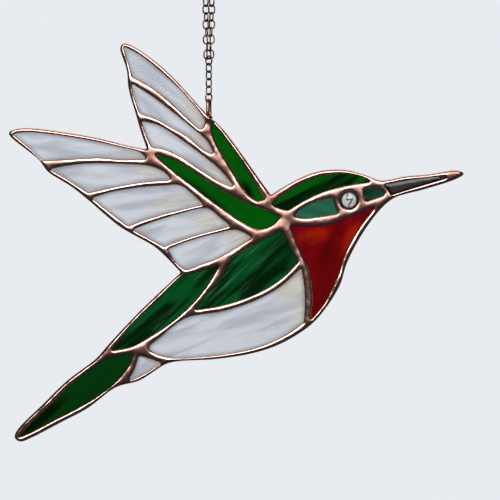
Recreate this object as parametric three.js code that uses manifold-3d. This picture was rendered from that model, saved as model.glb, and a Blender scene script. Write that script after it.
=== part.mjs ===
// A stained glass hummingbird in flight, hung by a fine chain from a round ring.
// Each glass pane is wrapped in foil at its edge and soldered to its neighbours, so one rounded
// net of solder holds all of them, front and back.
// Millimetres. +Z is up, the beak points along +X and the front faces -Y.
// The origin is the top of the ring's inside, where a nail or hook carries the whole thing.

import * as THREE from 'three';
import { mergeVertices } from 'three/addons/utils/BufferGeometryUtils.js';
import Module from 'manifold-3d';

const wasm = await Module();
wasm.setup();

// Glass and solder, measured through the thickness from the middle plane outwards
const GLASS_FACE = 1.4;
const CLEARANCE = 0.3;
const BEAD_SEAT = GLASS_FACE + CLEARANCE;
const BEAD_TOP = 2.6;
const BEAD_SHOULDER = 0.7; // how far a bead's rounded side leans in
const FOIL_OVERLAP = 0.7; // how far a pane runs in under the solder round its opening
const POCKET_REACH = FOIL_OVERLAP + CLEARANCE;

// The eye, a round glass jewel
const EYE = { x: 56, z: -33.3, opening: 3.45, girdle: 3.95, dome: 3.1, front: 3.4, back: 2.4 };

// The copper wire loop at the bird's shoulder, seen almost edge-on from the front
const LOOP = { width: 6.7, height: 8.9, wire: 1.4, top: 7.6, turn: 82, clearance: 0.15 };

// The chain and the ring at its top
const LINK = { width: 3.3, inside: 3.12, wire: 0.6, gap: 0.12 };
const LINK_PITCH = LINK.inside - LINK.gap;
const LINK_TURN = 45; // neighbouring links are turned this far to the left and to the right
const FIRST_TURN = 33; // less, because the first link rides on the thicker loop
const LAST_TURN = 70; // more, because the last link goes round the ring's wire
const LOWER_LINKS = 5;
const JOINING = { width: 4.2, inside: 3, wire: 0.65 };
const STRAND_LINKS = 9;
const STRAND_FOOT = { apart: 1.7, turn: -45, spare: 15 }; // side by side in the joining link
const STRAND_HEAD = { apart: 2.5, turn: 0 }; // side by side on the ring
const RING = { inside: 10, wire: 1.2, slack: 0.32 }; // the last links ride this far above its wire

const SAG = 0.18; // largest step between a curve and its facets
const ROUND_SIDES = 18;

const WHITE_GLASS = { color: 0xc3c5ca, roughness: 0.2, metalness: 0 };
const WING_GLASS = { color: 0x083f12, roughness: 0.1, metalness: 0 };
const STREAKY_GLASS = { color: 0x1c5a30, roughness: 0.15, metalness: 0 };
const TEAL_GLASS = { color: 0x265e47, roughness: 0.15, metalness: 0 };
const RED_GLASS = { color: 0x8a1208, roughness: 0.1, metalness: 0 };
const BLACK_GLASS = { color: 0x141315, roughness: 0.1, metalness: 0 };
const CLEAR_GLASS = { color: 0xdfe3e0, roughness: 0.05, metalness: 0 };
const SOLDER = { color: 0x9a6a5a, roughness: 0.3, metalness: 1 };
const WIRE = { color: 0x8a5238, roughness: 0.35, metalness: 1 };
const BRONZE = { color: 0x4a3a2c, roughness: 0.35, metalness: 1 };

// Outlines on the bird are in X and Z from the foot of its hanging loop. K marks a corner; the
// outline runs smoothly through every other point.
const K = true;

// What shows of each pane between the solder beads
const PANES = {
  far_wing_feather_1: [WHITE_GLASS,
    [-33.9, 28, K], [-27.5, 24.6], [-19.5, 18.2], [-11.5, 10.8], [-3.5, 1.6], [-1.8, -2.2],
    [-3, -4.8], [-7.5, -1.4], [-15.5, 6.2], [-23.5, 12.4], [-30.3, 16, K], [-32.3, 22.6]],
  far_wing_feather_2: [WHITE_GLASS,
    [-30.8, 13.1, K], [-23.5, 8.6], [-15.5, 2.6], [-7.5, -3.8], [-0.7, -10], [1.8, -14.8, K],
    [-1.5, -13.4], [-7.5, -8.4], [-15.5, -3.8], [-21.5, -0.5], [-27.3, 1.5, K], [-29.5, 7.1]],
  far_wing_feather_3: [WHITE_GLASS,
    [-26.7, -1.8, K], [-20.2, -3.5], [-11.5, -8.9], [-3.5, -14.8], [4.5, -21.5], [9.9, -27.9, K],
    [4.5, -25.8], [-3.5, -20.8], [-11.5, -15.6], [-17.5, -12.8], [-22.6, -11.9, K], [-24.7, -7.6]],
  far_wing_covert: [WING_GLASS,
    [1.3, -2, K], [4.5, -6.1], [12.6, -17.3], [18.6, -26.7], [22.3, -32.9, K], [19.3, -33.6],
    [15.4, -30.5], [9.3, -21.1], [4.6, -13.5], [1.7, -6.8]],
  near_wing_feather_1: [WHITE_GLASS,
    [-78.1, -6.9, K], [-73.5, -6.2], [-63.5, -7], [-47.5, -9.5], [-35.5, -12.1], [-27.5, -14.3],
    [-25.2, -16.7, K], [-35.5, -17], [-43.5, -16.2], [-51.5, -16.6], [-66.6, -17.3, K],
    [-71.5, -12.5]],
  near_wing_feather_2: [WHITE_GLASS,
    [-63.3, -21, K], [-55.5, -19.5], [-45.5, -18.7], [-35.5, -18.9], [-23.5, -19.9],
    [-17.5, -22.5], [-15.2, -25, K], [-23.5, -25.6], [-33.5, -27.1], [-48.1, -30.1, K],
    [-55.5, -25.5]],
  near_wing_feather_3: [WHITE_GLASS,
    [-46.4, -32.5, K], [-39.5, -30.3], [-27.5, -28.3], [-17.5, -27.6], [-11.5, -27.5],
    [-7.5, -30.2], [-2.4, -35, K], [-11.5, -37.1], [-23.5, -40.4], [-32.2, -43.4, K],
    [-39.5, -38]],
  near_wing_feather_4: [WHITE_GLASS,
    [-30.1, -45.1, K], [-23.5, -42.5], [-11.5, -38.8], [-0.6, -36.7], [3.3, -39.4],
    [8.4, -43.6, K], [0.5, -45.7], [-7.5, -48], [-17.8, -51.7, K], [-23.5, -48.7]],
  near_wing_feather_5: [WHITE_GLASS,
    [-16.2, -52.8, K], [-7.5, -49.6], [4.5, -46.3], [11.1, -45.3], [17, -48.2, K],
    [10.5, -52.4], [2.5, -56.7], [-3.5, -58.9], [-9.3, -60.8], [-13.3, -57.7]],
  near_wing_covert: [WING_GLASS,
    [-21.5, -14.8, K], [-11.5, -18.6], [0.5, -26.6], [12.5, -33.4], [22.5, -37.5],
    [28.5, -40.1, K], [24.5, -43.7], [19.7, -44.8], [14.7, -42.7], [4.5, -35.8],
    [-7.5, -26.8], [-15.5, -20.5]],
  crown: [STREAKY_GLASS,
    [25.6, -34.8, K], [30.5, -30.8], [36.5, -26.9], [44.5, -23.9], [54.5, -22.8],
    [61.3, -24.1], [64.6, -26, K], [56.5, -27.1], [46.5, -29.6], [38.5, -33.2],
    [31.7, -37.3, K], [28.5, -36.6]],
  cheek: [TEAL_GLASS,
    [34.1, -39.8, K], [36.5, -37.2], [42.5, -34.2], [49.4, -32.5, K], [50.1, -34.9],
    [51.6, -38.5, K], [44.5, -39.7], [38.5, -40.4]],
  lore: [TEAL_GLASS,
    [62.1, -29, K], [67.3, -28.6], [70.1, -30.9], [66.9, -32.3], [62.9, -33.7, K]],
  beak: [BLACK_GLASS,
    [70.5, -27.2, K], [76.5, -26], [84.5, -24.8], [90.5, -24.2], [95.9, -24.2, K],
    [88.5, -26.3], [80.5, -28.7], [73.2, -31.1, K], [71.7, -28.8]],
  throat: [RED_GLASS,
    [33, -43.7, K], [40.5, -43.7], [46.5, -43.7], [52.5, -41.8], [60.5, -38.5],
    [66.3, -36.1, K], [60.5, -43.8], [54.7, -53.8], [51.4, -63.4], [46.5, -73.8],
    [40.8, -81.2, K], [41.7, -72.4], [40.1, -61.2], [36.1, -52.1]],
  back: [STREAKY_GLASS,
    [29, -45.7, K], [20.5, -49.9], [12.5, -54.4], [9, -57.1], [4.9, -64.3], [0.5, -69.7],
    [-5.5, -77.1, K], [4.5, -75.4], [16.5, -71.7], [28.5, -65], [35.4, -57.9, K], [32.5, -52.7]],
  rump: [STREAKY_GLASS,
    [-10.1, -63.7, K], [-3.5, -61.8], [4, -59.4, K], [-1.5, -68.3], [-7.5, -75.4],
    [-15.5, -82.5], [-23.5, -87.7], [-30.6, -91.6], [-38.7, -93.4, K], [-31.5, -84.2],
    [-19.5, -72.6]],
  belly: [WHITE_GLASS,
    [36.9, -60.6, K], [38.1, -69.2], [38.2, -77.2], [37.8, -82.2, K], [28.5, -88.3],
    [16.5, -92.8], [0.5, -95.5], [-13.5, -96.3], [-21.5, -94.2], [-23.7, -92.3],
    [-19.5, -88.4], [-9.3, -80.6], [4.5, -78], [16.5, -74.4], [28.5, -68.1]],
  undertail: [WHITE_GLASS,
    [-27.7, -95.6, K], [-23.5, -96.8], [-19, -98.4, K], [-24.7, -102.1], [-31.8, -105.6, K],
    [-29.4, -100.6]],
  tail: [WING_GLASS,
    [-30.4, -94.7, K], [-31.9, -98.8], [-37.4, -105.9], [-43.5, -111], [-51.5, -115.8],
    [-63.5, -122], [-71.5, -126.2], [-76.4, -128.3, K], [-71.5, -122.9], [-63.5, -115.4],
    [-55.5, -107.4], [-45.5, -99.8], [-39.5, -96.3]],
};

// The outside of the solder, clockwise from the notch between the far wing and the crown
const BIRD_EDGE = [
  [24.8, -31, K], [30.5, -27.5], [36.5, -24.3], [44.5, -21.5], [54.5, -21.1], [62.5, -23.1],
  [69.3, -25.3], [76.5, -24], [88.5, -22.8], [99.7, -21.3], [102, -22.7], [98.9, -24.8],
  [84.5, -29.4], [74.5, -32.2], [68.5, -37.1], [60.5, -48.2], [55.1, -58.8], [52.5, -67.1],
  [46.5, -76.8], [40.6, -83.3], [28.5, -90.8], [16.5, -94.7], [0.5, -97], [-11.5, -97.6],
  [-17.1, -98.8], [-27.4, -105.2], [-37.3, -108.2], [-47.5, -115.8], [-59.5, -122.3],
  [-71.5, -128.5], [-75.5, -129.8], [-77.6, -128.2], [-76.7, -125.4], [-67.5, -116],
  [-55.5, -104.5], [-45.5, -97], [-39.5, -90.3], [-27.5, -77.6], [-11.2, -62.2, K],
  [-17.5, -55.6], [-21.5, -52], [-35.5, -43.9], [-47.5, -33.8], [-55.5, -27.5],
  [-64.4, -21.8], [-67.6, -17.5], [-79.3, -7.8], [-79.9, -6.4], [-77.9, -5], [-72.3, -4.4],
  [-59.5, -5.8], [-43.5, -8.6], [-31.5, -11.6], [-24.7, -12.8, K], [-27.1, -6], [-29.3, 1.6],
  [-32.1, 11.6], [-32.9, 19.2], [-34.9, 25.2], [-35.4, 27.6], [-34.1, 29.5], [-31.5, 29],
  [-23.5, 24], [-15.5, 17.2], [-7.5, 8.6], [-0.7, 1.2], [4.5, -3.5], [12.5, -13.8],
  [20.5, -25.2],
];

// The part of a curve from one parameter to another, cut until it's flat, without its end
function facets(curve, from, to) {
  const middle = (from + to) / 2;
  const [start, halfway, end] = [from, middle, to].map((t) => curve.getPoint(t));
  const bulge = halfway.distanceTo(start.clone().lerp(end, 0.5));
  if (bulge < SAG) return [new THREE.Vector2(start.x, start.y)];
  return [...facets(curve, from, middle), ...facets(curve, middle, to)];
}

// A closed outline through points that starts at a corner, turned counterclockwise
function trace(points) {
  const outline = [];
  let side = [points[0]];
  for (const point of [...points.slice(1), points[0]]) {
    side.push(point);
    if (point[2]) {
      const knots = side.map(([x, z]) => new THREE.Vector3(x, z, 0));
      const curve = new THREE.CatmullRomCurve3(knots, false, 'centripetal');
      const spans = side.length - 1;
      for (let span = 0; span < spans; span++) {
        outline.push(...facets(curve, span / spans, (span + 1) / spans));
      }
      side = [point];
    }
  }
  return THREE.ShapeUtils.isClockWise(outline) ? outline.reverse() : outline;
}

// The direction that points out of a counterclockwise outline's edge
function edgeNormal(start, end) {
  return new THREE.Vector2(end.y - start.y, start.x - end.x).normalize();
}

// An outline moved outwards by a distance, with its sharpest corners blunted
function grow(outline, distance) {
  const sharpest = 0.8;
  return outline.map((corner, i) => {
    const before = edgeNormal(outline.at(i - 1), corner);
    const after = edgeNormal(corner, outline[(i + 1) % outline.length]);
    const reach = distance / Math.max(1 + before.dot(after), sharpest);
    return corner.clone().addScaledVector(before.add(after), reach);
  });
}

// A flat solid with one outline, grown by its own amount at each level of Y
function stack(outline, levels) {
  const count = outline.length;
  const rings = levels.map(([y, growth]) => grow(outline, growth).map((p) => [p.x, y, p.y]));
  const faces = [];
  for (let level = 0; level < levels.length - 1; level++) {
    for (let i = 0; i < count; i++) {
      const here = level * count + i;
      const next = level * count + (i + 1) % count;
      faces.push(here, here + count, next, next, here + count, next + count);
    }
  }
  const back = (levels.length - 1) * count;
  for (const [a, b, c] of THREE.ShapeUtils.triangulateShape(outline, [])) {
    faces.push(a, b, c, back + c, back + b, back + a);
  }
  const geometry = new THREE.BufferGeometry();
  geometry.setAttribute('position', new THREE.Float32BufferAttribute(rings.flat(2), 3));
  geometry.setIndex(faces);
  return geometry;
}

// A closed ring of round wire in its own XZ plane, with round ends and straight flanks
function wireOval(width, height, wire, steps, sides) {
  const radius = (width - wire) / 2;
  const flank = (height - width) / 2;
  const corners = 12;
  const knots = [];
  for (let i = 0; i < corners; i++) {
    const angle = ((i + 0.5) / corners) * 2 * Math.PI;
    const rise = radius * Math.sin(angle) + flank * Math.sign(Math.sin(angle));
    knots.push(new THREE.Vector3(radius * Math.cos(angle), 0, rise));
  }
  const path = new THREE.CatmullRomCurve3(knots, true, 'centripetal');
  return new THREE.TubeGeometry(path, steps, wire / 2, sides, true);
}

// Geometry to a solid that can be cut, and back
function toSolid(geometry) {
  geometry.deleteAttribute('normal');
  geometry.deleteAttribute('uv');
  const welded = mergeVertices(geometry, 1e-4);
  const mesh = new wasm.Mesh({
    numProp: 3,
    vertProperties: new Float32Array(welded.attributes.position.array),
    triVerts: new Uint32Array(welded.index.array),
  });
  return new wasm.Manifold(mesh);
}

function toGeometry(solid) {
  const { vertProperties, triVerts } = solid.getMesh();
  const geometry = new THREE.BufferGeometry();
  geometry.setAttribute('position', new THREE.Float32BufferAttribute(vertProperties, 3));
  geometry.setIndex(Array.from(triVerts));
  return geometry;
}

function piece(name, geometry, finish) {
  const mesh = new THREE.Mesh(geometry, new THREE.MeshStandardMaterial(finish));
  mesh.name = name;
  return mesh;
}

// One pane of flat glass, reaching in under the solder all round
function pane(name, glass, opening) {
  const levels = [[-GLASS_FACE, FOIL_OVERLAP], [GLASS_FACE, FOIL_OVERLAP]];
  return piece(name, stack(opening, levels), glass);
}

// The eye's jewel: a flat girdle held by the solder, and a dome on each side
function eyeJewel() {
  const dome = (height, rows) => {
    const profile = [];
    for (let row = 0; row <= rows; row++) {
      const angle = (row / rows) * (Math.PI / 2);
      const rise = GLASS_FACE + (height - GLASS_FACE) * Math.cos(angle);
      profile.push([EYE.dome * Math.sin(angle), rise]);
    }
    return profile;
  };
  const front = dome(EYE.front, 3).map(([r, rise]) => new THREE.Vector2(r, -rise));
  const back = dome(EYE.back, 2).reverse().map(([r, rise]) => new THREE.Vector2(r, rise));
  const girdle = [-GLASS_FACE, GLASS_FACE].map((y) => new THREE.Vector2(EYE.girdle, y));
  const turned = new THREE.LatheGeometry([...front, ...girdle, ...back], ROUND_SIDES);
  const jewel = piece('eye_jewel', turned, CLEAR_GLASS);
  jewel.position.set(EYE.x, 0, EYE.z);
  return jewel;
}

// The copper loop stands in the solder of the seam between the two panes at the shoulder
function loopGeometry(wire) {
  const { width, height, top, turn } = LOOP;
  const spare = wire - LOOP.wire;
  const oval = wireOval(width + spare, height + spare, wire, 20, 6);
  return oval.rotateZ(THREE.MathUtils.degToRad(turn)).translate(0, 0, top - height / 2);
}

// The net of solder: the bird's whole shape, less a flared opening and a pocket for each pane
function solderNet(openings) {
  const body = [[-BEAD_TOP, -BEAD_SHOULDER], [-BEAD_SEAT, 0],
    [BEAD_SEAT, 0], [BEAD_TOP, -BEAD_SHOULDER]];
  const beyond = BEAD_TOP + 1;
  const flare = [[-beyond, BEAD_SHOULDER], [-BEAD_TOP, BEAD_SHOULDER], [-BEAD_SEAT, 0],
    [BEAD_SEAT, 0], [BEAD_TOP, BEAD_SHOULDER], [beyond, BEAD_SHOULDER]];
  const pocket = [[-BEAD_SEAT, POCKET_REACH], [BEAD_SEAT, POCKET_REACH]];
  let net = toSolid(stack(trace(BIRD_EDGE), body));
  for (const opening of openings) {
    net = net.subtract(toSolid(stack(opening, flare))).subtract(toSolid(stack(opening, pocket)));
  }
  return net.subtract(toSolid(loopGeometry(LOOP.wire + 2 * LOOP.clearance)));
}

function circle(x, z, radius) {
  const outline = new THREE.EllipseCurve(x, z, radius, radius).getPoints(ROUND_SIDES);
  return outline.slice(0, -1);
}

function bird() {
  const group = new THREE.Group();
  const openings = [circle(EYE.x, EYE.z, EYE.opening)];
  for (const [name, [glass, ...points]] of Object.entries(PANES)) {
    const opening = trace(points);
    openings.push(opening);
    group.add(pane(name, glass, opening));
  }
  group.add(eyeJewel());
  group.add(piece('solder_net', toGeometry(solderNet(openings)), SOLDER));
  group.add(piece('hanging_loop', loopGeometry(LOOP.wire), WIRE));
  return group;
}

function link(name, shape, x, y, z, turn) {
  const height = shape.inside + 2 * shape.wire;
  const oval = piece(name, wireOval(shape.width, height, shape.wire, 10, 4), BRONZE);
  oval.rotation.z = THREE.MathUtils.degToRad(turn);
  oval.position.set(x, y, z);
  return oval;
}

// The chain starts in the hanging loop as one strand. A wider link joins two strands to it,
// which part slowly on their way up to the ring. Heights are from the foot of the loop.
const FIRST_LINK = LOOP.top - LOOP.wire - LINK.gap + LINK.inside / 2;
const LOWER_END = FIRST_LINK + (LOWER_LINKS - 1) * LINK_PITCH;
const JOINING_LINK = LOWER_END + LINK.inside / 2 - LINK.gap + JOINING.inside / 2;
const WIRE_REACH = JOINING.width / 2 - JOINING.wire - LINK.wire / 2 - LINK.gap;
const STRAND_RISE = Math.sqrt(WIRE_REACH ** 2 - (STRAND_FOOT.apart / 2) ** 2);
const STRAND_START = JOINING_LINK + STRAND_RISE + (LINK.inside + LINK.wire) / 2;
const STRAND_END = STRAND_START + (STRAND_LINKS - 1) * LINK_PITCH;
const RING_RADIUS = (RING.inside + RING.wire) / 2;
const RING_FLOOR = STRAND_END + LINK.inside / 2 - RING.slack; // top of the ring's lowest wire
const ORIGIN_HEIGHT = RING_FLOOR + RING.inside;

function strandTurn(i, heading) {
  if (i === 0) return heading + LINK_TURN + STRAND_FOOT.spare;
  if (i === STRAND_LINKS - 1) return LAST_TURN;
  return heading + LINK_TURN * (-1) ** i;
}

function chain() {
  const group = new THREE.Group();
  for (let i = 0; i < LOWER_LINKS; i++) {
    const turn = i === 0 ? FIRST_TURN : LINK_TURN * (-1) ** i;
    group.add(link(`chain_lower_${i + 1}`, LINK, 0, 0, FIRST_LINK + i * LINK_PITCH, turn));
  }
  group.add(link('chain_joining_link', JOINING, 0, 0, JOINING_LINK, STRAND_FOOT.turn));
  for (const [strand, side] of [['left', -1], ['right', 1]]) {
    for (let i = 0; i < STRAND_LINKS; i++) {
      const climb = i / (STRAND_LINKS - 1);
      const reach = side * THREE.MathUtils.lerp(STRAND_FOOT.apart, STRAND_HEAD.apart, climb) / 2;
      const heading = THREE.MathUtils.lerp(STRAND_FOOT.turn, STRAND_HEAD.turn, climb);
      const x = reach * Math.cos(THREE.MathUtils.degToRad(heading));
      const y = reach * Math.sin(THREE.MathUtils.degToRad(heading));
      const z = STRAND_START + i * LINK_PITCH;
      group.add(link(`chain_${strand}_${i + 1}`, LINK, x, y, z, strandTurn(i, heading)));
    }
  }
  return group;
}

function hangingRing() {
  const outside = RING.inside + 2 * RING.wire;
  const ring = piece('hanging_ring', wireOval(outside, outside, RING.wire, 24, 6), BRONZE);
  ring.position.z = RING_FLOOR - RING.wire / 2 + RING_RADIUS;
  return ring;
}

const suncatcher = new THREE.Group();
suncatcher.add(bird(), chain(), hangingRing());
for (const assembly of suncatcher.children) assembly.position.z -= ORIGIN_HEIGHT;

export default suncatcher;
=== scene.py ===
"""A stained glass hummingbird suncatcher on a fine chain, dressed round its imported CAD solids.

Solder is worked out as a height over the bird's plane: it wets the strips between the glass openings
and stands up in rounded beads. All of that is in millimetres and becomes metres when a mesh is made.
"""
import math

import bpy
import numpy as np
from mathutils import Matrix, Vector


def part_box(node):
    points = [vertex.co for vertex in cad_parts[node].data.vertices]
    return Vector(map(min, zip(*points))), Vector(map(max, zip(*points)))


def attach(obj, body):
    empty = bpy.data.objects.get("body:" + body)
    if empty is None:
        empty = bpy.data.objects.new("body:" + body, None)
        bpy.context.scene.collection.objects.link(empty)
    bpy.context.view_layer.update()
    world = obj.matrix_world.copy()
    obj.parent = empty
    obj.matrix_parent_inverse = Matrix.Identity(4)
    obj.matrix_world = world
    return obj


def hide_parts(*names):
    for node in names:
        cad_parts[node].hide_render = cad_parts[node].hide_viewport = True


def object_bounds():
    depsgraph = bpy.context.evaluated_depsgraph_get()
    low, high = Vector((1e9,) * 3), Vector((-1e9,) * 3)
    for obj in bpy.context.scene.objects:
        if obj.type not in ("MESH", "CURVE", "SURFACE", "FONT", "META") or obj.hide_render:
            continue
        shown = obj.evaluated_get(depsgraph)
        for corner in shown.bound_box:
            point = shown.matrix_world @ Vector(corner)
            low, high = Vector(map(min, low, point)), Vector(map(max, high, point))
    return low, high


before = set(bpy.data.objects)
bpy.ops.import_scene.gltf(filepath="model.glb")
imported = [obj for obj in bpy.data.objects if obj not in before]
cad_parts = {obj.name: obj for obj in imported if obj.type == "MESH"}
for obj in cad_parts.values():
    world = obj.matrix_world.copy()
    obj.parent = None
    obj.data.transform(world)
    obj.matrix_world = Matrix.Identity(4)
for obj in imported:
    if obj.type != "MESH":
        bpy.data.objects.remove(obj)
cad_low, cad_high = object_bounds()

MM = 0.001

# Glass and solder through the thickness, from the middle plane outwards, in millimetres
GLASS_FACE = 1.4
SEAT = 1.7  # where the sides of the solder's beads start, in the solid
JEWEL_GRIP = 0.5  # how far the eye's jewel runs in under the solder
SOLDER_FOOT = 1.25  # the solder dips just under the glass where it meets it
RIM_HALF = 0.5  # half the flat of the bird's outer edge
RIM_ROUND = 0.95
RIM_LEAST = 0.9  # the narrowest that the solder is along the bird's edge
RIM_BLUR = 0.25  # how softly it turns the bird's own corners
BEAD_ROUNDNESS = 0.85  # height of a bead over half its width
POOL_FLATNESS = 1.15  # a wide pool of solder is this flat, per millimetre
SOLDER_LIMIT = 2.95
SWELLS = (0.08, 2.0)  # how much a bead swells and thins, and over what length
DIMPLES = (0.03, 0.8)
CLIMB, CLIMB_WIDTH = 0.7, 1.1  # the solder climbs the foot of the hanging loop
LOOP_FOOT = 0.9  # above the loop's lowest point

# Glass, in millimetres
ROLL, ROLL_WIDTH = 0.03, 4  # how far rolled glass waves
ROLL_EDGE = 1.6  # it is flat at its edge, and fully wavy this far in
JEWEL_SPARE = 0.1

# The chain
LOWER_LINKS = 5
STRAND_LINKS = 9
LINK_LEAN = math.radians(2.5)

FIELD_STEP = 0.175
NET_STEP = 2  # the solder's mesh uses every second place of the field
PANE_STEP = 0.9
SOFT_CORNER = 0.2  # how softly the solder rounds the corners of an opening

WHITE_PANES = ["far_wing_feather_1", "far_wing_feather_2", "far_wing_feather_3",
               "near_wing_feather_1", "near_wing_feather_2", "near_wing_feather_3",
               "near_wing_feather_4", "near_wing_feather_5", "belly", "undertail"]


# ---------------------------------------------------------------- camera

VIEW_WIDTH = 0.200  # what the picture takes in at the bird
VIEW_CENTRE = Vector((0.01648, 0, -0.11346))
LENS_MM = 160
SENSOR_MM = 36


def place_camera():
    data = bpy.data.cameras.new("camera")
    data.lens = LENS_MM
    data.sensor_width = SENSOR_MM
    camera = bpy.data.objects.new("camera", data)
    distance = VIEW_WIDTH * LENS_MM / SENSOR_MM
    camera.location = VIEW_CENTRE - Vector((0, distance, 0))
    camera.rotation_euler = (math.pi / 2, 0, 0)
    bpy.context.scene.collection.objects.link(camera)
    bpy.context.scene.camera = camera


place_camera()


# ---------------------------------------------------------------- materials

class Value:
    """A socket that carries a number, with arithmetic that adds Math nodes."""

    def __init__(self, bench, socket):
        self.bench = bench
        self.socket = socket

    def maths(self, operation, *numbers):
        return self.bench.node("ShaderNodeMath", dict(enumerate(numbers)), operation=operation)

    def __add__(self, other):
        return self.maths("ADD", self, other)

    def __sub__(self, other):
        return self.maths("SUBTRACT", self, other)

    def __rsub__(self, other):
        return self.maths("SUBTRACT", other, self)

    def __mul__(self, other):
        return self.maths("MULTIPLY", self, other)

    def __truediv__(self, other):
        return self.maths("DIVIDE", self, other)

    def __pow__(self, other):
        return self.maths("POWER", self, other)

    __radd__ = __add__
    __rmul__ = __mul__

    def at_least(self, other):
        return self.maths("MAXIMUM", self, other)

    def at_most(self, other):
        return self.maths("MINIMUM", self, other)


class Bench:
    """A node tree under construction. One method adds any node: its settings, then its sockets."""

    def __init__(self, tree):
        self.tree = tree
        self.tree.nodes.clear()

    def node(self, kind, sockets, output=0, stops=None, **settings):
        made = self.tree.nodes.new(kind)
        for setting, value in settings.items():
            setattr(made, setting, value)
        if stops:
            ramp = made.color_ramp
            while len(ramp.elements) < len(stops):
                ramp.elements.new(1)
            for element, (position, colour) in zip(ramp.elements, stops):
                element.position = position
                element.color = colour
        for name, value in sockets.items():
            if isinstance(value, Value):
                self.tree.links.new(value.socket, made.inputs[name])
            else:
                made.inputs[name].default_value = value
        return Value(self, made.outputs[output]) if made.outputs else None


class Finish(Bench):
    """A material under construction."""

    def __init__(self, name):
        self.material = bpy.data.materials.new(name)
        self.material.use_nodes = True
        super().__init__(self.material.node_tree)

    def place(self):
        return self.node("ShaderNodeTexCoord", {}, output="Object")

    def along(self, turn, size, start=(0, 0, 0)):
        """Object coordinates turned in the bird's plane and scaled to a size in millimetres."""
        sockets = {"Vector": self.place(), "Rotation": (0, turn, 0), "Location": start,
                   "Scale": tuple(s * MM for s in size)}
        return self.node("ShaderNodeMapping", sockets, vector_type="TEXTURE")

    def noise(self, place, scale=1.0, detail=3.0, roughness=0.55, bend=0.0):
        sockets = {"Vector": place, "Scale": scale, "Detail": detail,
                   "Roughness": roughness, "Distortion": bend}
        return self.node("ShaderNodeTexNoise", sockets, output="Fac")

    def between(self, value, low, high):
        """0 below low, 1 above high and a smooth step from one to the other."""
        sockets = {"Value": value, "From Min": low, "From Max": high}
        return self.node("ShaderNodeMapRange", sockets, interpolation_type="SMOOTHSTEP")

    def read(self, name):
        """A number that the piece carries at its corners."""
        return self.node("ShaderNodeAttribute", {}, output="Fac", attribute_name=name)

    def spot(self, turn, size, centre):
        """1 at a centre given in millimetres and down to 0 where an oval of a size ends."""
        oval = self.along(turn, size, tuple(c * MM for c in centre))
        return self.between(self.node("ShaderNodeVectorMath", {0: oval}, output="Value",
                                      operation="LENGTH"), 1.0, 0.25)

    def mix(self, share, first, second):
        sockets = {0: share, 6: first, 7: second}
        return self.node("ShaderNodeMix", sockets, output=2, data_type="RGBA")

    def bump(self, height, strength, depth):
        sockets = {"Height": height, "Strength": strength, "Distance": depth * MM}
        return self.node("ShaderNodeBump", sockets, output="Normal")

    def surface(self, sockets):
        shader = self.node("ShaderNodeBsdfPrincipled", sockets)
        self.node("ShaderNodeOutputMaterial", {"Surface": shader})
        return self.material


def paint(red, green, blue):
    """A linear colour from its 0 to 255 screen values."""
    def linear(level):
        level /= 255
        return level / 12.92 if level <= 0.04045 else ((level + 0.055) / 1.055) ** 2.4
    return (linear(red), linear(green), linear(blue), 1)


def copper_patina():
    """Solder plated with copper: bright on the beads, red at the foil's edge, brown where it pools."""
    finish = Finish("copper_patina")
    place = finish.place()
    speckle = finish.noise(place, 900, 4, 0.6)
    cloud = finish.noise(place, 160, 3, 0.5)
    wide = finish.between(finish.read("pool") + (cloud - 0.5) * 0.4, 0.86, 1.06)
    foil = finish.between(finish.read("foot") + (speckle - 0.5) * 0.1, 0.34, 0.1)
    tarnish = (finish.between(speckle, 0.55, 0.75) * 0.25 + wide * 0.8).at_most(1.0)
    copper = finish.mix(cloud, paint(240, 205, 193), paint(222, 176, 162))
    worn = finish.mix(tarnish, copper, paint(128, 84, 74))
    colour = finish.mix(foil * 0.85, worn, paint(158, 86, 72))
    ripple = finish.noise(place, 380, 1, 0.5)
    return finish.surface({
        "Base Color": colour, "Metallic": 1.0,
        "Roughness": 0.17 + foil * 0.16 + tarnish * 0.16,
        "Normal": finish.bump(ripple + speckle * wide, 0.2, 0.06)})


def copper_wire():
    finish = Finish("copper_wire")
    grain = finish.noise(finish.along(0, (0.6, 0.6, 4)), 1, 3)
    colour = finish.mix(finish.between(grain, 0.4, 0.7), paint(210, 156, 134), paint(122, 78, 66))
    return finish.surface({
        "Base Color": colour, "Metallic": 1.0, "Roughness": 0.22 + grain * 0.2,
        "Normal": finish.bump(grain, 0.2, 0.05)})


def dark_bronze():
    """The chain's old bronze: nearly black in its hollows and tan where it rubs."""
    finish = Finish("dark_bronze")
    place = finish.place()
    wear = finish.between(finish.noise(place, 700, 3), 0.5, 0.68)
    colour = finish.mix(wear, paint(96, 74, 60), paint(190, 148, 116))
    return finish.surface({
        "Base Color": colour, "Metallic": 1.0, "Roughness": 0.24 + wear * 0.1,
        "Normal": finish.bump(finish.noise(place, 1600, 2), 0.25, 0.03)})


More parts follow.
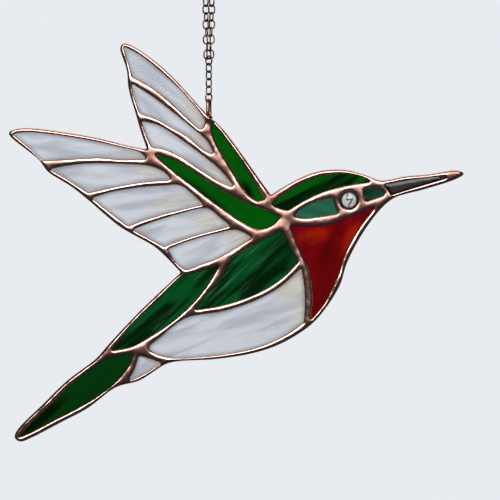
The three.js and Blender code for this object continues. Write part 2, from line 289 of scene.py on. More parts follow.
def wispy_white(name, turn, start):
    """Milky glass, cool with soft wisps along the pane and cream near one end, greyer at its edge:
    painted shade from the solder beside it, and partly the copper foil seen through the glass.
    """
    finish = Finish(name)
    wisp = finish.noise(finish.along(turn, (26, 26, 4.5), start), 1, 3, 0.5, 0.4)
    cloud = finish.noise(finish.along(turn, (30, 30, 12), start), 1, 2, 0.5)
    fine = finish.noise(finish.along(turn, (12, 12, 1.3), start), 1, 2, 0.5, 0.3)
    cool = finish.mix(finish.between(wisp, 0.36, 0.62), paint(190, 193, 201), paint(219, 222, 228))
    warm = finish.mix(finish.between(fine, 0.35, 0.7), paint(220, 215, 204), paint(198, 191, 177))
    creamy = finish.between(finish.read("run") + (cloud - 0.5) * 1.3, 0.6, 0.92)
    milk = finish.mix(creamy * 0.9, cool, warm)
    # painted shade: the glass greys towards its edge, where the solder beads shade it, and partly the
    # foil showing through
    edge = finish.between(finish.read("rim") + (wisp - 0.5) * 0.8, 2.3, 0.7)
    return finish.surface({
        "Base Color": finish.mix(edge * 0.55, milk, paint(138, 142, 146)),
        "Roughness": 0.16, "IOR": 1.5, "Transmission Weight": 0.3,
        "Normal": finish.bump(wisp, 0.1, 0.15)})


def clear_green(name, turn, start, light, dark, shadow_turn, shadow_size, shadow_centre):
    """Clear green glass with faint threads along it and one soft dark band."""
    finish = Finish(name)
    thread = finish.noise(finish.along(turn, (30, 30, 2.2), start), 1, 2, 0.5, 0.5)
    band = finish.spot(shadow_turn, shadow_size, shadow_centre)
    threads = finish.between(thread, 0.45, 0.72)
    colour = finish.mix((band + threads * 0.3).at_most(1.0), light, dark)
    return finish.surface({
        "Base Color": colour, "Roughness": 0.0, "IOR": 1.5, "Transmission Weight": 0.94})


def streaky_green(name, turn, start, dark, light, wisp_colour, wisp_share):
    """Green glass streaked with black-green shadows and fine pale wisps."""
    finish = Finish(name)
    shadow = finish.noise(finish.along(turn, (34, 34, 5.5), start), 1, 2, 0.5, 0.6)
    wisp = finish.noise(finish.along(turn, (24, 24, 1.1), start), 1, 3, 0.6, 0.35)
    patch = finish.noise(finish.along(turn, (22, 22, 9), start), 1, 1)
    deep = finish.mix(finish.between(shadow, 0.4, 0.6), dark, light)
    pale = finish.between(wisp, 0.5, 0.72) * finish.between(patch, 0.42, 0.6)
    colour = finish.mix(pale * wisp_share, deep, wisp_colour)
    return finish.surface({
        "Base Color": colour, "Roughness": 0.03, "IOR": 1.5, "Transmission Weight": 0.85})


def teal_glass(name, light, dark):
    finish = Finish(name)
    cloud = finish.noise(finish.along(0.3, (16, 16, 5)), 1, 3, 0.6)
    return finish.surface({
        "Base Color": finish.mix(finish.between(cloud, 0.3, 0.7), dark, light),
        "Roughness": 0.06, "IOR": 1.5, "Transmission Weight": 0.7})


def red_glass():
    """Deep red glass with orange fire at its upper left and right, and a purple tinge on top."""
    finish = Finish("red_glass")
    flame = finish.noise(finish.along(-0.4, (9, 9, 5)), 1, 3, 0.6, 0.8)
    shade = finish.noise(finish.along(-1.1, (13, 13, 6), (0.02, 0, 0)), 1, 3, 0.55)
    upper = finish.spot(-0.2, (9, 9, 4.5), (42.5, 0, -107.5))
    right = finish.spot(-1.0, (10, 9, 3.8), (57, 0, -108.5))
    low = finish.spot(-1.2, (16, 9, 9), (48, 0, -121))
    red = finish.mix(finish.between(shade, 0.35, 0.65), paint(140, 8, 12), paint(98, 0, 6))
    red = finish.mix(low * 0.75, red, paint(100, 2, 5))
    fire = (upper.at_least(right) * finish.between(flame, 0.3, 0.62)).at_most(1.0)
    colour = finish.mix(fire * 0.9, red, paint(182, 36, 4))
    brow = finish.spot(-0.24, (20, 9, 2.4), (49, 0, -101.5))
    colour = finish.mix(brow * 0.7, colour, paint(116, 6, 62))
    return finish.surface({
        "Base Color": colour, "Roughness": 0.03, "IOR": 1.5, "Transmission Weight": 0.88})


def black_glass():
    finish = Finish("black_glass")
    ripple = finish.noise(finish.along(0.05, (14, 14, 1.5)), 1, 2)
    # painted shade: the black glass goes near black towards its edge, beside the solder
    edge = finish.between(finish.read("rim"), 1.5, 0.8)
    # painted sheen: the lighter grey follows the ripples as if they caught the light
    gloss = finish.mix(ripple, paint(30, 27, 27), paint(58, 55, 54))
    colour = finish.mix(edge, gloss, paint(12, 10, 10))
    return finish.surface({
        "Base Color": colour, "Roughness": 0.16, "IOR": 1.5,
        "Normal": finish.bump(ripple, 0.15, 0.1)})


# the path of a painted reflection of a dark solder seam in the jewel, in millimetres from its middle
ZIGZAG = [(-0.45, 3.1), (-1.05, 0.15), (1.3, 0.35), (-0.1, -1.9), (0, -2.7)]


def clear_jewel():
    """The eye's clear jewel, grey against the light, with a dark zigzag line that is a painted
    reflection of a solder seam, and a dark ring of painted shade round its edge.
    """
    finish = Finish("clear_jewel")
    (middle_x, middle_z), _ = eye_place()
    place = finish.place()
    x = finish.node("ShaderNodeSeparateXYZ", {0: place}, output="X") / MM - middle_x
    z = finish.node("ShaderNodeSeparateXYZ", {0: place}, output="Z") / MM - middle_z
    nearest = 9.0
    for (from_x, from_z), (to_x, to_z) in zip(ZIGZAG, ZIGZAG[1:]):
        run_x, run_z = to_x - from_x, to_z - from_z
        share = ((x - from_x) * run_x + (z - from_z) * run_z) / (run_x**2 + run_z**2)
        share = share.at_least(0.0).at_most(1.0)
        off_x, off_z = x - from_x - share * run_x, z - from_z - share * run_z
        nearest = ((off_x * off_x + off_z * off_z) ** 0.5).at_most(nearest)
    # painted reflection of a dark solder seam: a zigzag line across the jewel
    line = finish.between(nearest, 0.5, 0.16)
    # painted shade: a dark ring round the jewel's edge, where the solder grips it
    ring = finish.between((x * x + z * z) ** 0.5, 2.5, 3.05)
    cloud = finish.noise(place, 500, 2)
    grey = finish.mix(finish.between(cloud, 0.35, 0.65), paint(226, 226, 220), paint(196, 200, 196))
    colour = finish.mix((line * 0.85).at_least(ring), grey, paint(46, 40, 38))
    return finish.surface({
        "Base Color": colour, "Roughness": 0.05, "IOR": 1.5, "Transmission Weight": 0.3})


# ---------------------------------------------------------------- outlines from the solids

def corners_of(node):
    """A CAD node's welded corners in millimetres, and its triangles."""
    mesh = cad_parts[node].data
    mesh.calc_loop_triangles()
    loose = np.array([v.co for v in mesh.vertices], float) / MM
    corners, welded = np.unique(loose.round(3), axis=0, return_inverse=True)
    triangles = np.array([t.vertices for t in mesh.loop_triangles])
    return corners, welded.ravel()[triangles]


def box_mm(node):
    low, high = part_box(node)
    return np.array(low) / MM, np.array(high) / MM


def eye_place():
    low, high = box_mm("eye_jewel")
    return (low + high)[[0, 2]] / 2, (high[0] - low[0]) / 2


def outlines_of(node, depth, way):
    """The lines, in X and Z, where faces that go one way in Y leave a depth; the longest is first."""
    nearby = 0.01
    corners, triangles = corners_of(node)
    beyond = (corners[:, 1] - depth) * way
    onward = {}
    for triangle in triangles:
        if beyond[triangle].max() > nearby:
            for a, b in zip(triangle, np.roll(triangle, -1)):
                if abs(beyond[a]) < nearby and abs(beyond[b]) < nearby:
                    onward[a] = b
    lines = []
    while onward:
        reached = set(onward.values())
        line = [next((a for a in onward if a not in reached), next(iter(onward)))]
        while line[-1] in onward:
            line.append(onward.pop(line[-1]))
        lines.append(corners[line[:-1] if line[0] == line[-1] else line][:, [0, 2]])
    return sorted(lines, key=lambda line: -np.ptp(line, axis=0).sum())


def rounded(outline, corner_turn, step=0.5):
    """A smooth closed line through an outline's points that keeps the corners sharper than a turn."""
    chord = np.roll(outline, -1, 0) - outline
    length = np.linalg.norm(chord, axis=1, keepdims=True)
    along = chord / length
    before, length_before = np.roll(along, 1, 0), np.roll(length, 1, 0)
    tangent = (before * length + along * length_before) / (length + length_before)
    sharp = np.arccos(np.clip((along * before).sum(1), -1, 1)) > corner_turn
    line = []
    for i, start in enumerate(outline):
        j = (i + 1) % len(outline)
        leave = (along[i] if sharp[i] else tangent[i]) * length[i]
        arrive = (along[i] if sharp[j] else tangent[j]) * length[i]
        pieces = math.ceil(length[i, 0] / step)
        t = (np.arange(pieces) / pieces)[:, None]
        line.append((2 * t**3 - 3 * t**2 + 1) * start + (t**3 - 2 * t**2 + t) * leave
                    + (3 * t**2 - 2 * t**3) * outline[j] + (t**3 - t**2) * arrive)
    return np.concatenate(line)


def circle(centre, radius, points=72):
    turn = np.arange(points) * 2 * math.pi / points
    return centre + radius * np.stack([np.cos(turn), np.sin(turn)], -1)


# ---------------------------------------------------------------- fields over the bird's plane

class Grid:
    """Evenly spaced places over a stretch of the XZ plane, in millimetres."""

    def __init__(self, line, step):
        margin = 4 * step
        self.step = step
        self.x, self.z = (np.arange(low - margin, high + margin, step)
                          for low, high in zip(line.min(0), line.max(0)))
        self.shape = (len(self.z), len(self.x))

    def sample(self, values, spots):
        """Values between the grid's places, at spots given in X and Z."""
        column = (spots[:, 0] - self.x[0]) / self.step
        row = (spots[:, 1] - self.z[0]) / self.step
        c, r = column.astype(int), row.astype(int)
        right, up = column - c, row - r
        return ((values[r, c] * (1 - right) + values[r, c + 1] * right) * (1 - up)
                + (values[r + 1, c] * (1 - right) + values[r + 1, c + 1] * right) * up)


def distance_inside(grid, line, reach=3.0):
    """How far inside a closed line each place is, negative outside it and cut off at a reach."""
    away = np.full(grid.shape, reach)
    inside = np.zeros(grid.shape, bool)
    for start, end in zip(line, np.roll(line, -1, 0)):
        low, high = np.minimum(start, end), np.maximum(start, end)
        columns = slice(*np.searchsorted(grid.x, (low[0] - reach, high[0] + reach)))
        rows = slice(*np.searchsorted(grid.z, (low[1] - reach, high[1] + reach)))
        dx, dz = end - start
        x = grid.x[columns][None, :] - start[0]
        z = grid.z[rows][:, None] - start[1]
        share = np.clip((x * dx + z * dz) / (dx * dx + dz * dz), 0, 1)
        away[rows, columns] = np.minimum(away[rows, columns], np.hypot(x - share * dx, z - share * dz))
        crossed = slice(*np.searchsorted(grid.z, (low[1], high[1])))
        if crossed.stop > crossed.start:
            meets = start[0] + (grid.z[crossed] - start[1]) * dx / dz
            inside[crossed] ^= grid.x[None, :] > meets[:, None]
    return np.where(inside, away, -away)


def softened(values, width):
    """Values blurred by a bell curve of a width in grid steps."""
    up = np.fft.fftfreq(values.shape[0])[:, None]
    across = np.fft.rfftfreq(values.shape[1])[None, :]
    kept = np.exp(-2 * (np.pi * width) ** 2 * (up**2 + across**2))
    return np.fft.irfft2(np.fft.rfft2(values) * kept, values.shape)


def lumps(grid, width, seed):
    """Soft random lumps of a width in millimetres, about 1 high."""
    drawn = np.random.default_rng(seed).standard_normal(grid.shape)
    soft = softened(drawn, width / grid.step)
    return (soft - soft.mean()) / soft.std()


def wetted(grid, field, rounds=140):
    """The height of a skin blown up evenly over the places where a field is positive.

    It is half the square of a round bead's height, and levels off where the solder is wide.
    Solved with conjugate gradients, and with the skin held down on the very line where field is 0.
    """
    inside = field > 0
    weight = np.full(grid.shape, (POOL_FLATNESS * grid.step) ** 2)
    open_sides = []
    for axis, way in ((0, 1), (0, -1), (1, 1), (1, -1)):
        beside = np.roll(field, way, axis)
        joined = inside & (beside > 0)
        with np.errstate(divide="ignore", invalid="ignore"):
            to_line = np.clip(field / (field - beside), 0.15, 1)
        weight += np.where(joined, 1, np.where(inside, 1 / to_line, 0))
        open_sides.append((axis, way, joined))

    def pull(skin):
        total = weight * skin
        for axis, way, joined in open_sides:
            total -= np.where(joined, np.roll(skin, way, axis), 0)
        return np.where(inside, total, 0)

    skin = np.zeros(grid.shape)
    left = np.where(inside, grid.step**2, 0.0)
    eased = left / weight
    search, size = eased.copy(), (left * eased).sum()
    for _ in range(rounds):
        pulled = pull(search)
        share = size / (search * pulled).sum()
        skin += share * search
        left -= share * pulled
        eased = left / weight
        size, before = (left * eased).sum(), size
        search = eased + search * (size / before)
    return skin


# ---------------------------------------------------------------- meshes

def trimmed(grid, field, every=1):
    """Triangles over the places where a field is positive, trimmed on the line where it is zero.

    Gives the corners in X and Z, the triangles, seen counterclockwise from the front, and the
    trimmed rim's edges. A place close to the line is moved onto it, so no sliver is left.
    """
    snap = 0.3
    raw = field[::every, ::every]
    spot = np.stack(np.meshgrid(grid.x[::every], grid.z[::every]), -1)
    slope = np.stack(np.gradient(raw, grid.step * every)[::-1], -1)
    steepness = np.linalg.norm(slope, axis=-1) + 1e-9
    near = np.abs(raw) < snap * grid.step * every * steepness
    spot[near] -= ((raw / steepness**2)[..., None] * slope)[near]
    level = np.where(near, 0, raw).ravel()
    raw, spot = raw.ravel(), spot.reshape(-1, 2)

    count = len(level)
    place = np.arange(count).reshape(near.shape)
    a, b, c, d = (q.ravel() for q in (place[:-1, :-1], place[:-1, 1:], place[1:, 1:], place[1:, :-1]))
    even = (np.add.outer(*map(np.arange, near[1:, 1:].shape)) % 2 == 0).ravel()
    halves = [np.stack([a, b, np.where(even, c, d)], -1), np.stack([np.where(even, a, b), c, d], -1)]
    triangles = np.concatenate(halves)
    triangles = triangles[(level[triangles] > 0).any(1) | (raw[triangles].sum(1) > 0)]

    def turned(chosen, first):
        """The chosen triangles, each starting at its own first corner."""
        rows = np.arange(len(chosen))[:, None]
        return chosen[rows, (first[:, None] + np.arange(3)) % 3].T

    def cut(inner, outer):
        """The corner where an edge crosses the line, coded by the places at its ends."""
        low, high = np.minimum(inner, outer), np.maximum(inner, outer)
        return np.where(level[inner] == 0, inner, count * (1 + low) + high)

    out = (level[triangles] < 0).sum(1)
    wet = (level[triangles] > 0).any(1)
    one, two = triangles[(out == 1) & wet], triangles[(out == 2) & wet]
    dry, p, q = turned(one, (level[one] < 0).argmax(1))
    tip, m, n = turned(two, (level[two] > 0).argmax(1))
    faces = np.concatenate([
        triangles[out == 0],
        np.stack([cut(p, dry), p, q], -1),
        np.stack([cut(p, dry), q, cut(q, dry)], -1),
        np.stack([tip, cut(tip, m), cut(tip, n)], -1)])
    whole = (faces != np.roll(faces, 1, 1)).all(1)
    codes, faces = np.unique(faces[whole], return_inverse=True)
    faces = faces.reshape(-1, 3)

    low, high = codes // count - 1, codes % count
    with np.errstate(divide="ignore", invalid="ignore"):
        share = level[low] / (level[low] - level[high])
    crossing = spot[low] + share[:, None] * (spot[high] - spot[low])
    corners = np.where((codes < count)[:, None], spot[codes % count], crossing)

    edges = np.concatenate([faces, np.roll(faces, -1, 1)]).reshape(2, -1).T
    name, back = edges @ [len(codes), 1], edges @ [1, len(codes)]
    return corners, faces, edges[~np.isin(name, back)]


def closed_sheet(spots, faces, rim, front, back):
    """A closed body from a trimmed sheet: one skin at each depth of Y, and a wall round the rim."""
    count = len(spots)
    skins = [np.stack([spots[:, 0], depth, spots[:, 1]], -1) for depth in (-front, back)]
    a, b = rim.T
    walls = [np.stack([b, a, a + count], -1), np.stack([b, a + count, b + count], -1)]
    return np.concatenate(skins), np.concatenate([faces, faces[:, ::-1] + count, *walls])


def add_piece(name, corners, faces, material, replaced=(), smooth_turn=None):
    """A piece of the suncatcher from corners in millimetres."""
    mesh = bpy.data.meshes.new(name)
    mesh.from_pydata((np.array(corners) * MM).tolist(), [], [list(f) for f in faces])
    mesh.shade_smooth()
    if smooth_turn is not None:
        mesh.set_sharp_from_angle(angle=smooth_turn)
    mesh.materials.append(material)
    piece = bpy.data.objects.new(name, mesh)
    bpy.context.scene.collection.objects.link(piece)
    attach(piece, "root")
    if replaced:
        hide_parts(*replaced)
    return piece


def set_attribute(piece, name, values):
    """Stores one number at each corner, for the piece's material to read."""
    made = piece.data.attributes.new(name, "FLOAT", "POINT")
    made.data.foreach_set("value", values.astype(np.float32))


# ---------------------------------------------------------------- the solder

def make_solder(finish):
    """The net of solder beads, front and back, round every pane and along the bird's edge."""
    edge, *openings = outlines_of("solder_net", -SEAT, way=-1)
    edge = rounded(edge, math.radians(60))
    grid = Grid(edge, FIELD_STEP)
    open_places = np.max([distance_inside(grid, rounded(line, math.radians(40)))
                          for line in openings], axis=0)
    whole = np.maximum(distance_inside(grid, edge), open_places + RIM_LEAST)
    outer = softened(whole, RIM_BLUR / FIELD_STEP)
    field = np.minimum(outer, -softened(open_places, SOFT_CORNER / FIELD_STEP))

    spots, faces, rim = trimmed(grid, field, NET_STEP)
    on_rim = np.zeros(len(spots), bool)
    on_rim[rim] = True
    bead = np.sqrt(2 * np.maximum(grid.sample(wetted(grid, field), spots), 0))
    bead[on_rim] = 0
    inward = np.clip(grid.sample(outer, spots) / RIM_ROUND, 0, 1)
    flat = RIM_HALF / SOLDER_FOOT
    edge_round = np.sqrt(1 - (1 - inward) ** 2 * (1 - flat**2))

    low, high = box_mm("hanging_loop")
    foot = np.array([(low[0] + high[0]) / 2, low[2] + LOOP_FOOT])
    climb = CLIMB * np.exp(-((spots - foot) ** 2).sum(1) / (2 * CLIMB_WIDTH**2))

    def face(seed):
        uneven = np.ones(len(spots))
        for number, (amount, width) in enumerate((SWELLS, DIMPLES)):
            uneven += amount * grid.sample(lumps(grid, width, seed + number), spots)
        height = (SOLDER_FOOT + BEAD_ROUNDNESS * bead * uneven) * edge_round + climb * (bead > 0)
        return np.minimum(height, SOLDER_LIMIT)

    corners, faces = closed_sheet(spots, faces, rim, face(11), face(23))
    net = add_piece("solder_beads", corners, faces, finish, ["solder_net"])
    set_attribute(net, "pool", np.tile(bead, 2))
    set_attribute(net, "foot", np.tile(grid.sample(field, spots), 2))


# ---------------------------------------------------------------- the glass

def grain_of(line):
    """The turn, seen from the front, of the way a pane is longest."""
    spread = np.cov((line - line.mean(0)).T)
    return math.atan2(2 * spread[0, 1], spread[0, 0] - spread[1, 1]) / 2


def make_pane(pane, seed, finish, crown=0.0):
    """A hand rolled pane, a little wavy on both faces."""
    line = rounded(outlines_of(pane, -GLASS_FACE, way=1)[0], math.radians(40))
    grid = Grid(line, PANE_STEP)
    field = distance_inside(grid, line)
    spots, faces, rim = trimmed(grid, field)
    inside = np.clip(grid.sample(field, spots) / ROLL_EDGE, 0, 1)
    raised = crown * np.sqrt(1 - (1 - inside) ** 2)
    front, back = (
        GLASS_FACE + raised + ROLL * inside * grid.sample(lumps(grid, ROLL_WIDTH, s), spots)
        for s in (seed, seed + 1))
    corners, faces = closed_sheet(spots, faces, rim, front, back)
    glass = add_piece(pane + "_glass", corners, faces, finish, [pane], math.radians(40))
    grain = grain_of(line)
    run = spots[:, 0] * math.cos(grain) + spots[:, 1] * math.sin(grain)
    set_attribute(glass, "rim", np.tile(grid.sample(field, spots), 2))
    set_attribute(glass, "run", np.tile((run - run.min()) / np.ptp(run), 2))


def make_jewel(finish):
    """The eye: a clear domed jewel with a flat girdle that the solder grips."""
    low, high = box_mm("eye_jewel")
    centre, girdle = eye_place()
    dome = girdle - JEWEL_GRIP - JEWEL_SPARE
    sides, rows = 48, 10
    profile = [(0, low[1])]
    for k in range(1, rows + 1):
        turn = k / rows * math.pi / 2
        profile.append((dome * math.sin(turn), -GLASS_FACE + (low[1] + GLASS_FACE) * math.cos(turn)))
    profile += [(girdle, -GLASS_FACE), (girdle, GLASS_FACE)]
    for k in range(rows, 0, -1):
        turn = k / rows * math.pi / 2
        profile.append((dome * math.sin(turn), GLASS_FACE + (high[1] - GLASS_FACE) * math.cos(turn)))
    corners = [(centre[0], low[1], centre[1])]
    for radius, depth in profile[1:]:
        corners += [(x, depth, z) for x, z in circle(centre, radius, sides)]
    corners.append((centre[0], high[1], centre[1]))
    last = len(corners) - 1
    faces = []
    for i in range(sides):
        j = (i + 1) % sides
        faces.append((0, 1 + i, 1 + j))
        for ring in range(len(profile) - 2):
            here, there = 1 + ring * sides, 1 + (ring + 1) * sides
            faces.append((here + i, there + i, there + j, here + j))
        foot = 1 + (len(profile) - 2) * sides
        faces.append((foot + j, foot + i, last))
    add_piece("eye_cabochon", corners, faces, finish, ["eye_jewel"], math.radians(50))


# ---------------------------------------------------------------- wire: chain, loop and ring

def wire_links():
    """Geometry nodes that put a link of round wire at each point of a mesh, turned as the point says."""
    tree = bpy.data.node_groups.new("wire_links", "GeometryNodeTree")
    inputs = {"Links": "Geometry", "Width": "Float", "Height": "Float", "Wire": "Float",
              "Bend Steps": "Int", "Wire Sides": "Int", "Slack Angle": "Float", "Seed": "Int",
              "Finish": "Material"}
    for name, kind in inputs.items():
        tree.interface.new_socket(name, in_out="INPUT", socket_type="NodeSocket" + kind)
    tree.interface.new_socket("Wire Links", in_out="OUTPUT", socket_type="NodeSocketGeometry")
    bench = Bench(tree)
    given = tree.nodes.new("NodeGroupInput").outputs
    width, height, wire, slack = (Value(bench, given[name])
                                  for name in ("Width", "Height", "Wire", "Slack Angle"))
    flat = bench.node("GeometryNodeCurvePrimitiveQuadrilateral",
                      {"Width": width - wire, "Height": height - wire}, mode="RECTANGLE")
    oval = bench.node("GeometryNodeFilletCurve",
                      {"Curve": flat, "Count": Value(bench, given["Bend Steps"]),
                       "Radius": (width - wire) / 2, "Limit Radius": True}, mode="POLY")
    upright = bench.node("GeometryNodeTransform", {"Geometry": oval, "Rotation": (math.pi / 2, 0, 0)})
    section = bench.node("GeometryNodeCurvePrimitiveCircle",
                         {"Resolution": Value(bench, given["Wire Sides"]), "Radius": wire / 2},
                         mode="RADIUS")
    link = bench.node("GeometryNodeCurveToMesh", {"Curve": upright, "Profile Curve": section})
    turn = bench.node("GeometryNodeInputNamedAttribute", {"Name": "turn"}, data_type="FLOAT")
    least = bench.node("ShaderNodeCombineXYZ", {"X": 0 - slack, "Y": 0 - slack, "Z": turn})
    most = bench.node("ShaderNodeCombineXYZ", {"X": slack, "Y": slack, "Z": turn})
    lean = bench.node("FunctionNodeRandomValue",
                      {"Min": least, "Max": most, "Seed": Value(bench, given["Seed"])},
                      data_type="FLOAT_VECTOR")
    rotation = bench.node("FunctionNodeEulerToRotation", {"Euler": lean})
    placed = bench.node("GeometryNodeInstanceOnPoints",
                        {"Points": Value(bench, given["Links"]), "Instance": link,
                         "Rotation": rotation})
    real = bench.node("GeometryNodeRealizeInstances", {"Geometry": placed})
    smooth = bench.node("GeometryNodeSetShadeSmooth", {"Geometry": real})
    finished = bench.node("GeometryNodeSetMaterial",
                          {"Geometry": smooth, "Material": Value(bench, given["Finish"])})
    bench.node("NodeGroupOutput", {"Wire Links": finished})
    return tree


def lie_of(node):
    """A link's centre, its turn about Z, and its width, height and wire, read from its solid."""
    corners, _ = corners_of(node)
    centre = (corners.min(0) + corners.max(0)) / 2
    spread = np.cov(corners[:, :2].T)
    turn = math.atan2(2 * spread[0, 1], spread[0, 0] - spread[1, 1]) / 2
    across = (corners - centre)[:, :2] @ [[math.cos(turn), -math.sin(turn)],
                                          [math.sin(turn), math.cos(turn)]]
    width, wire = np.ptp(across, axis=0)
    return centre, turn, width, np.ptp(corners[:, 2]), wire


def make_links(name, nodes, tree, finish, slack=0.0, steps=8, sides=12, seed=4):
    """One piece for links of one size, at the places and turns of their solids."""
    lies = [lie_of(node) for node in nodes]
    points = bpy.data.meshes.new(name + "_places")
    points.from_pydata([tuple(lie[0] * MM) for lie in lies], [], [])
    turns = points.attributes.new("turn", "FLOAT", "POINT")
    turns.data.foreach_set("value", [lie[1] for lie in lies])
    holder = bpy.data.objects.new(name + "_places", points)
    bpy.context.scene.collection.objects.link(holder)
    modifier = holder.modifiers.new("links", "NODES")
    modifier.node_group = tree
    width, height, wire = np.mean([lie[2:] for lie in lies], axis=0) * MM
    values = {"Width": width, "Height": height, "Wire": wire, "Bend Steps": steps,
              "Wire Sides": sides, "Slack Angle": slack, "Seed": seed, "Finish": finish}
    for item in tree.interface.items_tree:
        if item.name in values:
            modifier[item.identifier] = values[item.name]
    made = holder.evaluated_get(bpy.context.evaluated_depsgraph_get())
    mesh = bpy.data.meshes.new_from_object(made)
    mesh.name = name
    bpy.data.objects.remove(holder)
    face_outwards(mesh)
    piece = bpy.data.objects.new(name, mesh)
    bpy.context.scene.collection.objects.link(piece)
    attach(piece, "root")
    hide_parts(*nodes)
    return piece


def face_outwards(mesh):
    """Turns a closed mesh's faces round if they point inwards."""
    mesh.calc_loop_triangles()
    place = np.array([v.co for v in mesh.vertices])
    a, b, c = (place[[t.vertices[k] for t in mesh.loop_triangles]] for k in range(3))
    if (np.cross(a, b) * c).sum() < 0:
        mesh.flip_normals()


def make_chain(bronze, copper):
    tree = wire_links()
    lower = [f"chain_lower_{i + 1}" for i in range(LOWER_LINKS)]
    strands = [f"chain_{side}_{i + 1}" for side in ("left", "right") for i in range(STRAND_LINKS)]
    make_links("chain_links", lower + strands, tree, bronze, LINK_LEAN)
    make_links("joining_link", ["chain_joining_link"], tree, bronze)
    make_links("wall_ring", ["hanging_ring"], tree, bronze, steps=24, sides=20)
    make_links("wire_loop", ["hanging_loop"], tree, copper, steps=20, sides=20)


def make_loop_solder(finish):
    """The drop of solder that the loop's foot stands in."""
    low, high = box_mm("hanging_loop")
    centre = np.array([(low[0] + high[0]) / 2, 0, low[2] + 1.0])
    reach = np.array([1.45, 2.9, 1.25])
    rng = np.random.default_rng(8)
    rows, sides = 14, 28
    corners = [centre - reach * [0, 0, 1]]
    for row in range(1, rows):
        tilt = -math.pi / 2 + math.pi * row / rows
        for x, y in circle(np.zeros(2), math.cos(tilt), sides):
            corners.append(centre + reach * [x, y, math.sin(tilt)] * (1 + 0.03 * rng.standard_normal()))
    corners.append(centre + reach * [0, 0, 1])
    last = len(corners) - 1
    faces = []
    for i in range(sides):
        j = (i + 1) % sides
        faces.append((0, 1 + j, 1 + i))
        for row in range(rows - 2):
            here, there = 1 + row * sides, 1 + (row + 1) * sides
            faces.append((here + i, here + j, there + j, there + i))
        top = 1 + (rows - 2) * sides
        faces.append((top + i, top + j, last))
    add_piece("loop_solder", corners, faces, finish)


# ---------------------------------------------------------------- studio

def pale_world():
    """A pale backdrop for the eye and through the glass; darker where only light and gloss meet it."""
    world = bpy.data.worlds.new("studio")
    world.use_nodes = True
    bpy.context.scene.world = world
    bench = Bench(world.node_tree)
    seen = bench.node("ShaderNodeLightPath", {}, output="Is Camera Ray")
    through = bench.node("ShaderNodeLightPath", {}, output="Is Transmission Ray")
    glossy = bench.node("ShaderNodeLightPath", {}, output="Is Glossy Ray")
    backdrop = bench.node("ShaderNodeBackground", {"Color": paint(232, 236, 240), "Strength": 1.0})
    fill = bench.node("ShaderNodeBackground", {"Color": paint(225, 230, 240), "Strength": 0.45})
    dim = bench.node("ShaderNodeBackground", {"Color": paint(235, 225, 220), "Strength": 0.045})
    lighting = bench.node("ShaderNodeMixShader", {0: glossy, 1: fill, 2: dim})
    shown = bench.node("ShaderNodeMixShader", {0: seen.at_least(through), 1: lighting, 2: backdrop})
    bench.node("ShaderNodeOutputWorld", {"Surface": shown})


def softbox(name, azimuth, elevation, distance, width, height, radiance):
    """A soft light aimed at the middle of the suncatcher. Azimuth 0 is in front, 90 is to its right."""
    centre = (cad_low + cad_high) / 2
    a, e = math.radians(azimuth), math.radians(elevation)
    away = Vector((math.sin(a) * math.cos(e), -math.cos(a) * math.cos(e), math.sin(e)))
    data = bpy.data.lights.new(name, "AREA")
    data.shape = "RECTANGLE"
    data.size, data.size_y = width, height
    data.energy = radiance * width * height * math.pi
    lamp = bpy.data.objects.new(name, data)
    lamp.location = centre + away * distance
    lamp.rotation_euler = away.to_track_quat("Z", "Y").to_euler()
    lamp.visible_camera = False
    bpy.context.scene.collection.objects.link(lamp)


def pale_floor():
    """A round floor well below the hanging bird."""
    radius, drop, sides = 0.9, 0.75, 96
    mesh = bpy.data.meshes.new("floor")
    rim = circle(np.zeros(2), radius, sides)
    mesh.from_pydata([(x, y, -drop) for x, y in rim], [], [tuple(range(sides))])
    finish = Finish("pale_floor")
    grain = finish.noise(finish.place(), 30, 2)
    colour = finish.mix(grain, paint(228, 230, 232), paint(236, 238, 240))
    mesh.materials.append(finish.surface({"Base Color": colour, "Roughness": 0.8}))
    floor = bpy.data.objects.new("floor", mesh)
    floor.visible_glossy = False
    bpy.context.scene.collection.objects.link(floor)


# ---------------------------------------------------------------- the suncatcher

patina = copper_patina()
make_solder(patina)
make_loop_solder(patina)
make_chain(dark_bronze(), copper_wire())
make_jewel(clear_jewel())

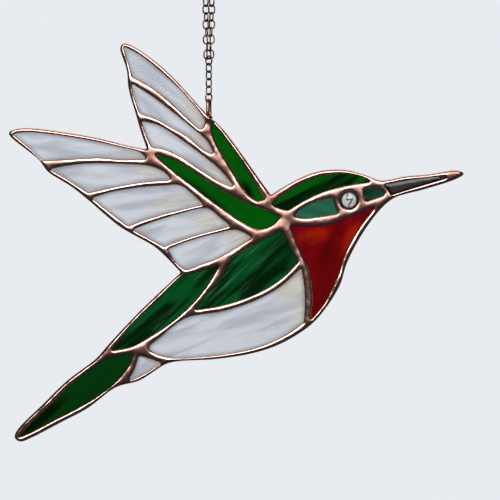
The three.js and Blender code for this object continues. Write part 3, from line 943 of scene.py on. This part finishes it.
for number, pane in enumerate(WHITE_PANES):
    grain = grain_of(outlines_of(pane, -GLASS_FACE, way=1)[0])
    start = (0.013 * number, 0, 0.007 * number)
    make_pane(pane, 100 + 2 * number, wispy_white("wispy_white_" + pane, -grain, start))

leaf, black_green = paint(0, 92, 8), paint(0, 22, 2)
near_green = clear_green("green_near_covert", 0.6, (0, 0, 0), leaf, black_green,
                         shadow_turn=0.63, shadow_size=(24, 9, 4.4), shadow_centre=(-3, 0, -92.5))
far_green = clear_green("green_far_covert", 1.0, (0.05, 0, 0), leaf, black_green,
                        shadow_turn=1.2, shadow_size=(7, 9, 4), shadow_centre=(15, 0, -90.5))
tail_green = clear_green("green_tail", -0.7, (0.1, 0, 0), paint(2, 58, 12), black_green,
                         shadow_turn=-0.7, shadow_size=(17, 9, 3), shadow_centre=(-66, 0, -180))
make_pane("near_wing_covert", 200, near_green)
make_pane("far_wing_covert", 202, far_green)
make_pane("tail", 204, tail_green)

deep, bright, wisps = paint(0, 34, 8), paint(4, 84, 34), paint(92, 146, 116)
crown_green = streaky_green("streaky_crown", -0.5, (0, 0, 0), paint(0, 26, 2), paint(0, 92, 10),
                            paint(40, 120, 60), wisp_share=0.3)
back_green = streaky_green("streaky_back", -0.75, (0.03, 0, 0), deep, bright, wisps, wisp_share=0.5)
rump_green = streaky_green("streaky_rump", -0.75, (0.07, 0, 0), deep, bright, wisps, wisp_share=0.5)
make_pane("crown", 206, crown_green)
make_pane("back", 208, back_green)
make_pane("rump", 210, rump_green)
cheek_teal = teal_glass("teal_cheek", paint(52, 118, 92), paint(36, 98, 74))
lore_teal = teal_glass("teal_lore", paint(30, 84, 60), paint(8, 48, 30))
make_pane("cheek", 212, cheek_teal)
make_pane("lore", 214, lore_teal)
make_pane("throat", 216, red_glass())
make_pane("beak", 218, black_glass(), crown=0.5)

pale_world()
pale_floor()
softbox("front_softbox", -6, 26, 0.9, 1.0, 0.52, 4.6)
softbox("top_softbox", -4, 64, 0.9, 1.0, 0.5, 0.6)
softbox("back_softbox", 176, 40, 0.9, 1.0, 0.7, 1.4)
bpy.context.scene.view_settings.view_transform = "Standard"
